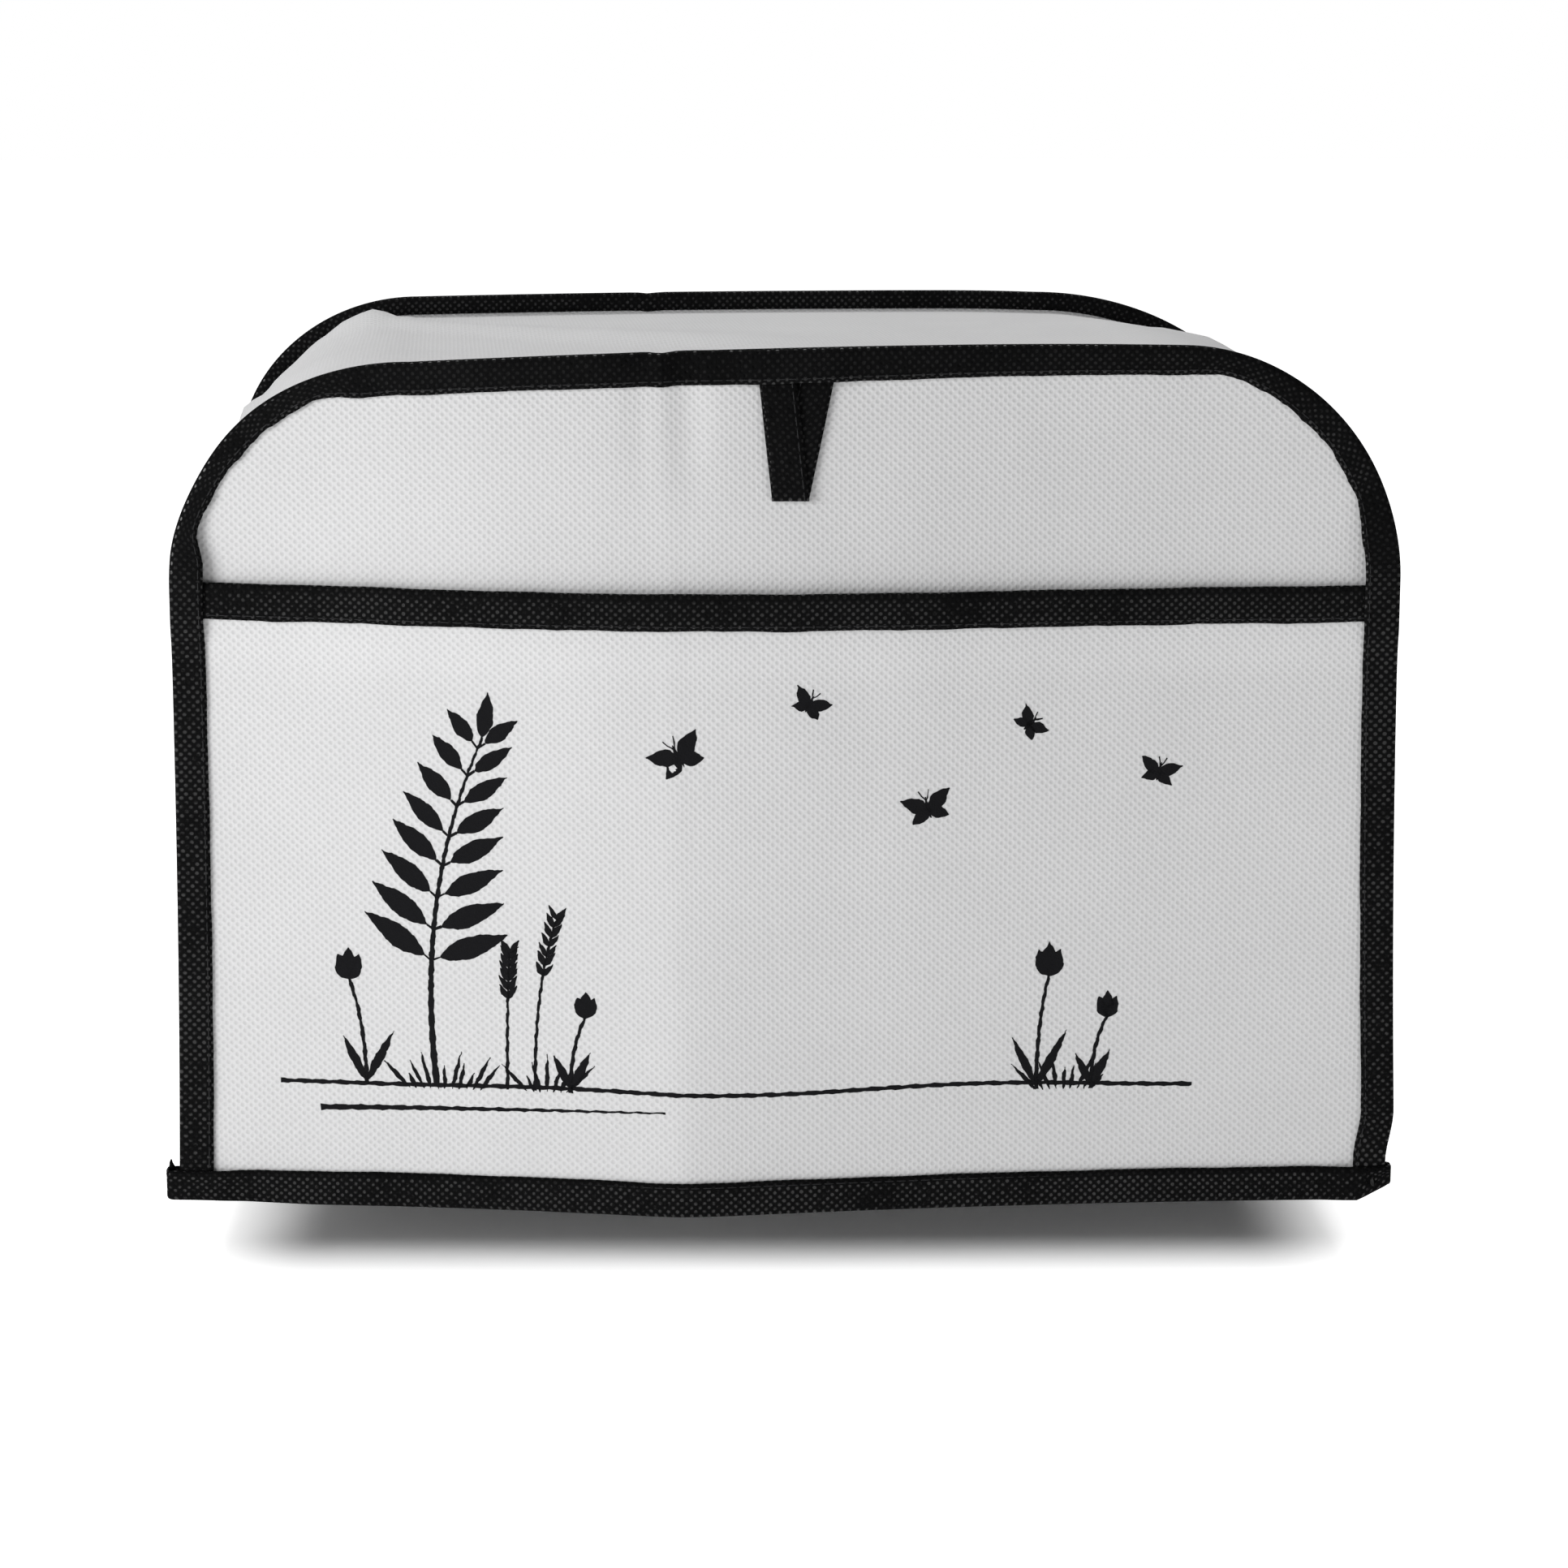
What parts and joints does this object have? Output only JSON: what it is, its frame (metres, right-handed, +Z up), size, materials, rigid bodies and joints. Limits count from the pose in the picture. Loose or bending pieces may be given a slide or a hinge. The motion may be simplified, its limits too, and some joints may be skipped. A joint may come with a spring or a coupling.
{
  "type": "toaster cover",
  "caption": "Fitted non-woven cloth cover for a toaster, hollow and open below, with bound seams, a front pocket and a hanging loop at the top.",
  "frame": {"origin": "middle of the underside of the top, where the top of a toaster holds the cover up", "axes": "+X to the right seen from the front, +Y towards the back, +Z up; the pocket faces -Y"},
  "size_m": [0.3179, 0.2115, 0.2197],
  "materials": {
    "white_cloth": "matte white non-woven cloth with small embossed dots",
    "black_binding": "black non-woven tape with slightly shiny embossed dots"
  },
  "bodies": {
    "root": {"front_panel": "white_cloth", "back_panel": "white_cloth", "gusset": "white_cloth", "pocket_panel": "white_cloth", "pocket_binding": "black_binding", "front_binding": "black_binding", "back_binding": "black_binding", "hem_binding": "black_binding", "hang_loop": "black_binding"}
  },
  "joints": []
}
